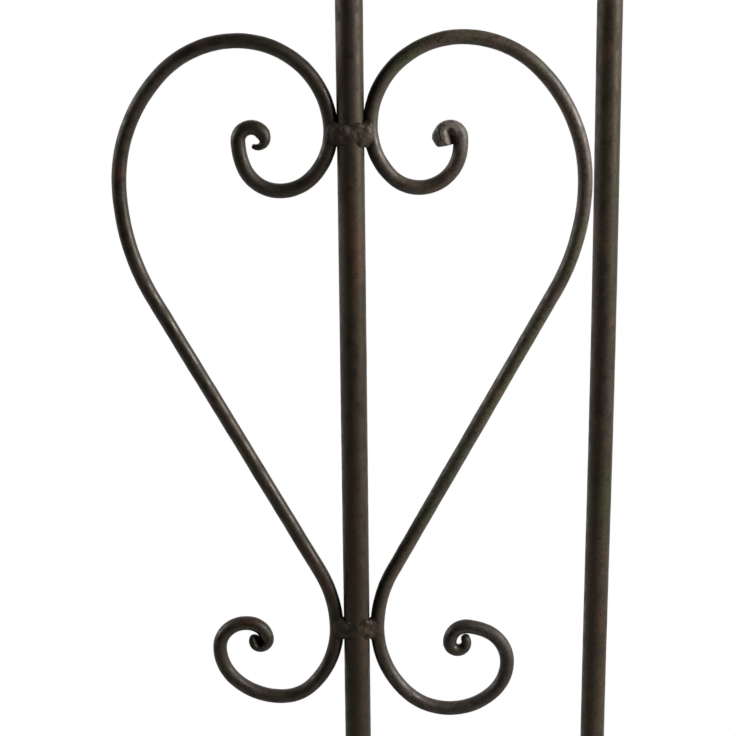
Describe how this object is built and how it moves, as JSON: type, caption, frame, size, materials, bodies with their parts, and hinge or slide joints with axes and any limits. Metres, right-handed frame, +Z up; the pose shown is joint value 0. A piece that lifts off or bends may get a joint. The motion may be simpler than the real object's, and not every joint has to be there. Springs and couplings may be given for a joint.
{
  "type": "curved garden trellis",
  "caption": "Free-standing garden trellis of dark patinated iron, bowed in plan, with forged scroll hearts welded to its front uprights and spikes that push into the soil.",
  "frame": {"origin": "at the ground line, midway between the axes of the two front uprights", "axes": "+X to the right and +Y to the back as the trellis is seen from its front, +Z up along the uprights"},
  "size_m": [0.5416, 0.0964, 1.8908],
  "materials": {
    "uprights": "dark brown patina over iron tube, satin",
    "rails": "dark brown patina over iron bar, satin",
    "scrolls": "dark brown and olive patina over forged iron rod, satin",
    "welds": "dark patina over lumpy weld metal",
    "spikes": "dark brown patina over iron bar, worn by soil",
    "caps": "dark brown patina, satin"
  },
  "bodies": {
    "root": {"front_left_upright": "uprights", "front_left_ground_spike": "spikes", "front_left_cap": "caps", "front_right_upright": "uprights", "front_right_ground_spike": "spikes", "front_right_cap": "caps", "back_left_upright": "uprights", "back_left_ground_spike": "spikes", "back_left_cap": "caps", "back_right_upright": "uprights", "back_right_ground_spike": "spikes", "back_right_cap": "caps", "ground_spike_welds": "welds", "bottom_rail": "rails", "bottom_rail_welds": "welds", "lower_rail": "rails", "lower_rail_welds": "welds", "upper_rail": "rails", "upper_rail_welds": "welds", "top_rail": "rails", "top_rail_welds": "welds", "bottom_left_heart_left_scroll": "scrolls", "bottom_left_heart_right_scroll": "scrolls", "bottom_left_heart_welds": "welds", "bottom_right_heart_left_scroll": "scrolls", "bottom_right_heart_right_scroll": "scrolls", "bottom_right_heart_welds": "welds", "middle_left_heart_left_scroll": "scrolls", "middle_left_heart_right_scroll": "scrolls", "middle_left_heart_welds": "welds", "middle_right_heart_left_scroll": "scrolls", "middle_right_heart_right_scroll": "scrolls", "middle_right_heart_welds": "welds", "top_left_heart_left_scroll": "scrolls", "top_left_heart_right_scroll": "scrolls", "top_left_heart_welds": "welds", "top_right_heart_left_scroll": "scrolls", "top_right_heart_right_scroll": "scrolls", "top_right_heart_welds": "welds"}
  },
  "joints": []
}
